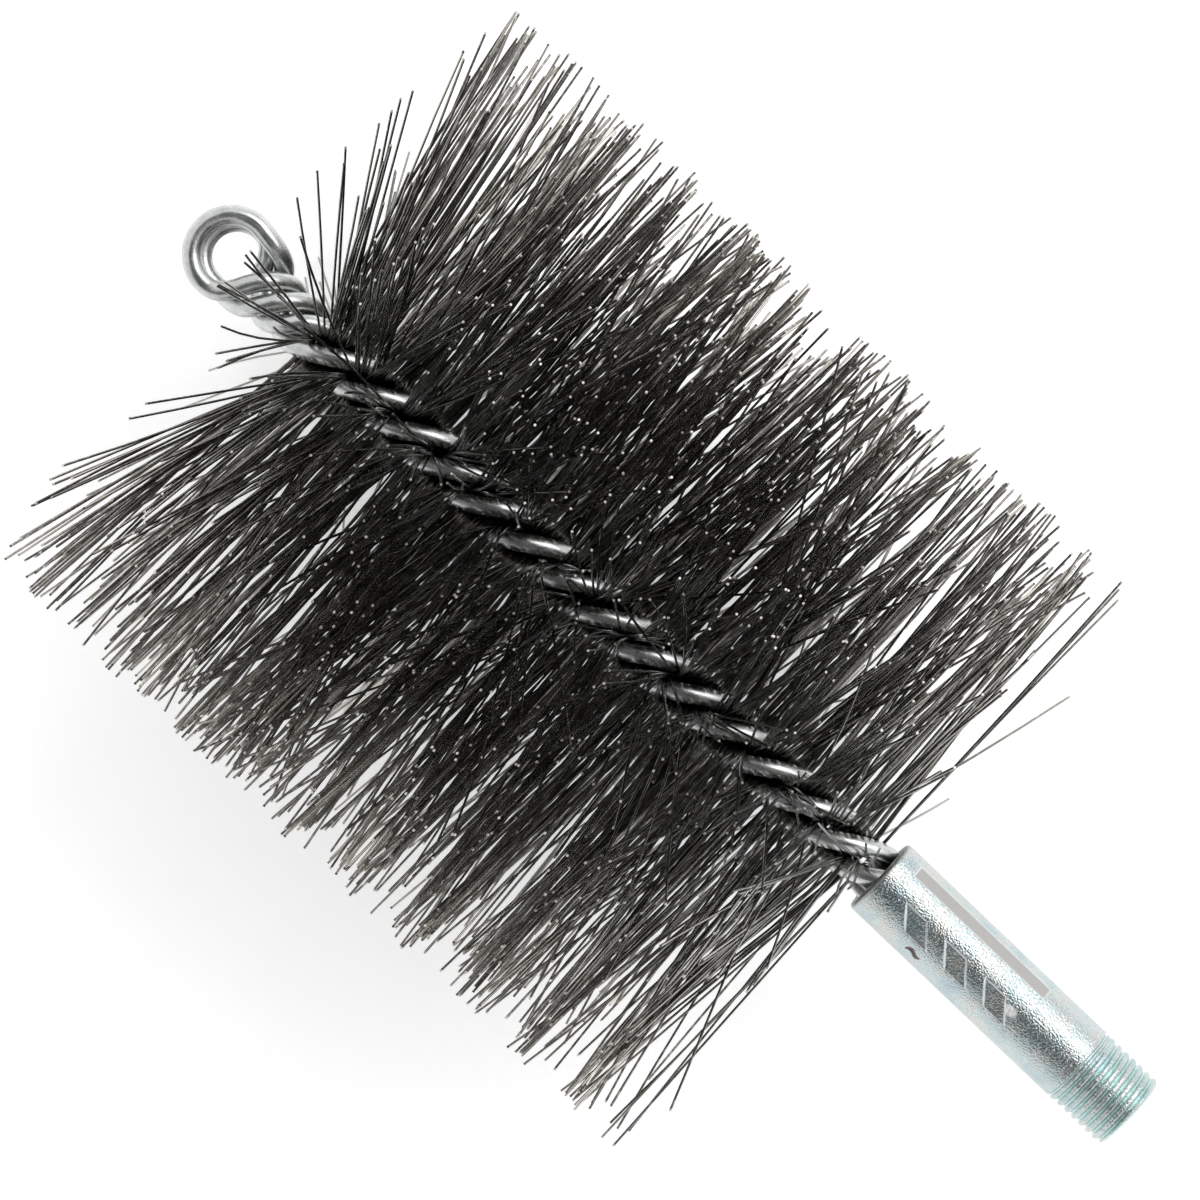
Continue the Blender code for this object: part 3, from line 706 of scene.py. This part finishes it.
# Table, light and camera
studio = {
    "cameraHeight": 1.00,  # m above the stem's axis
    "frameWidth": 0.1770,  # m of the stem's level across the picture
    "turn": 43.6,  # degrees
    "centre": (-0.0135, 0.0010),  # m, the point in the picture's middle
    "sensor": 36,  # mm
    "nearest": 0.05,  # m from the camera, where it starts to see
    "tableHalf": 3.0,  # m from the table's middle to its edges
    "paperMottle": 1.67,  # mm; the fibres themselves are too fine to show
    "wallLight": 1.0,  # white walls and sweep
    "ceilingLight": 0.14,  # the dark room above, round the camera and its stand
    "ceilingAcross": 24,  # degrees from straight up to its edge on either side
    "ceilingAhead": 22,  # and towards +Y
    "ceilingBehind": 58,  # and towards -Y
    "ceilingSoft": 7,  # degrees over which it fades
    "paperLift": 0.42,  # added to the paper as seen, so that it reaches white beyond the shadow
    "keyStand": (0.15, 0.86, 1.22),  # m
    "keySize": (1.3, 0.8),
    "keyPower": 7.5,  # W
}


def whiteTable():
    # matt white paper sweep: the camera and the metal's reflections see it a little nearer to white,
    # shadows stay
    material, tree = newMaterial("matt white paper")
    out = addNode(tree, "ShaderNodeOutputMaterial")
    coords = addNode(tree, "ShaderNodeTexCoord")
    mottle = addNode(tree, "ShaderNodeTexNoise", Vector=(coords, "Object"),
                     Scale=1 / (studio["paperMottle"] * mm), Detail=2.0)
    tone = colourRamp(tree, (mottle, "Fac"), ((0.3, "#f3f3f3"), (0.7, "#f8f8f8")))
    paper = addNode(tree, "ShaderNodeBsdfDiffuse", Color=(tone, "Color"))
    path = addNode(tree, "ShaderNodeLightPath")
    seen = addNode(tree, "ShaderNodeMath", {"operation": "MAXIMUM"}, n0=(path, "Is Camera Ray"),
                   n1=(path, "Is Glossy Ray"))
    lift = addNode(tree, "ShaderNodeMath", {"operation": "MULTIPLY"}, n0=(seen, "Value"),
                   n1=studio["paperLift"])
    glow = addNode(tree, "ShaderNodeEmission", Color=(1, 1, 1, 1), Strength=(lift, "Value"))
    lifted = addNode(tree, "ShaderNodeAddShader", n0=(paper, 0), n1=(glow, 0))
    tree.links.new(lifted.outputs[0], out.inputs[0])
    return material


half = studio["tableHalf"]
floorPoints = np.array([[-half, -half, 0], [half, -half, 0], [half, half, 0], [-half, half, 0]])
table = meshPiece("paperTable", floorPoints, [np.array([[0, 1, 2, 3]])], whiteTable(), smooth=False)


def softbox(name, stand, size, power, aim):
    # a rectangular lamp at its stand, turned so that -Z, the way it shines, points at the aim
    lamp = bpy.data.lights.new(name, "AREA")
    lamp.shape = "RECTANGLE"
    lamp.size, lamp.size_y = size
    lamp.energy = power
    box = bpy.data.objects.new(name, lamp)
    box.location = stand
    toward = np.array(aim) - np.array(stand)
    yaw = math.atan2(toward[1], toward[0])
    pitch = math.atan2(math.hypot(toward[0], toward[1]), -toward[2])
    box.rotation_euler = (pitch, 0, yaw - math.pi / 2)
    bpy.context.scene.collection.objects.link(box)


softbox("keySoftbox", studio["keyStand"], studio["keySize"], studio["keyPower"], (0, 0, axisHeight))


def whiteRoom():
    # white all round but for a dark ceiling, whose share is the product of three fades over the slopes x/z
    # and y/z of the direction looked in; the camera itself sees plain white
    world = bpy.data.worlds.new("studio")
    bpy.context.scene.world = world
    world.use_nodes = True
    tree = world.node_tree
    tree.nodes.clear()

    def fade(slope, edge):
        # a smooth step from 1 to 0 between the tangents of the edge less and plus the ceiling's softness
        inner = math.tan(math.radians(edge - studio["ceilingSoft"]))
        outer = math.tan(math.radians(edge + studio["ceilingSoft"]))
        return addNode(tree, "ShaderNodeMapRange", {"interpolation_type": "SMOOTHSTEP"}, n0=(slope, 0),
                       n1=inner, n2=outer, n3=1.0, n4=0.0)

    path = addNode(tree, "ShaderNodeLightPath")
    sky = addNode(tree, "ShaderNodeTexCoord")
    skySplit = addNode(tree, "ShaderNodeSeparateXYZ", Vector=(sky, "Generated"))
    height = addNode(tree, "ShaderNodeMath", {"operation": "MAXIMUM"}, n0=(skySplit, "Z"), n1=0.001)
    across = addNode(tree, "ShaderNodeMath", {"operation": "DIVIDE"}, n0=(skySplit, "X"), n1=(height, 0))
    eitherSide = addNode(tree, "ShaderNodeMath", {"operation": "ABSOLUTE"}, n0=(across, 0))
    ahead = addNode(tree, "ShaderNodeMath", {"operation": "DIVIDE"}, n0=(skySplit, "Y"), n1=(height, 0))
    behind = addNode(tree, "ShaderNodeMath", {"operation": "MULTIPLY"}, n0=(ahead, 0), n1=-1.0)
    within = addNode(tree, "ShaderNodeMath", {"operation": "MULTIPLY"},
                     n0=(fade(eitherSide, studio["ceilingAcross"]), 0),
                     n1=(fade(ahead, studio["ceilingAhead"]), 0))
    overhead = addNode(tree, "ShaderNodeMath", {"operation": "MULTIPLY"}, n0=(within, 0),
                       n1=(fade(behind, studio["ceilingBehind"]), 0))
    dome = addNode(tree, "ShaderNodeMix", {"data_type": "FLOAT"}, n0=(overhead, 0), n2=studio["wallLight"],
                   n3=studio["ceilingLight"])
    level = addNode(tree, "ShaderNodeMath", {"operation": "MAXIMUM"}, n0=(path, "Is Camera Ray"),
                    n1=(dome, 0))
    back = addNode(tree, "ShaderNodeBackground", Color=(1, 1, 1, 1), Strength=(level, "Value"))
    addNode(tree, "ShaderNodeOutputWorld", Surface=(back, 0))


whiteRoom()
camera = bpy.data.objects.new("camera", bpy.data.cameras.new("camera"))
camera.data.sensor_width = studio["sensor"]
camera.data.lens = studio["sensor"] * studio["cameraHeight"] / studio["frameWidth"]
camera.data.clip_start = studio["nearest"]
camera.location = (*studio["centre"], axisHeight + studio["cameraHeight"])
camera.rotation_euler = (0, 0, math.radians(studio["turn"]))
bpy.context.scene.collection.objects.link(camera)
bpy.context.scene.camera = camera
bpy.context.scene.view_settings.view_transform = "Standard"
print("table, light and camera done")
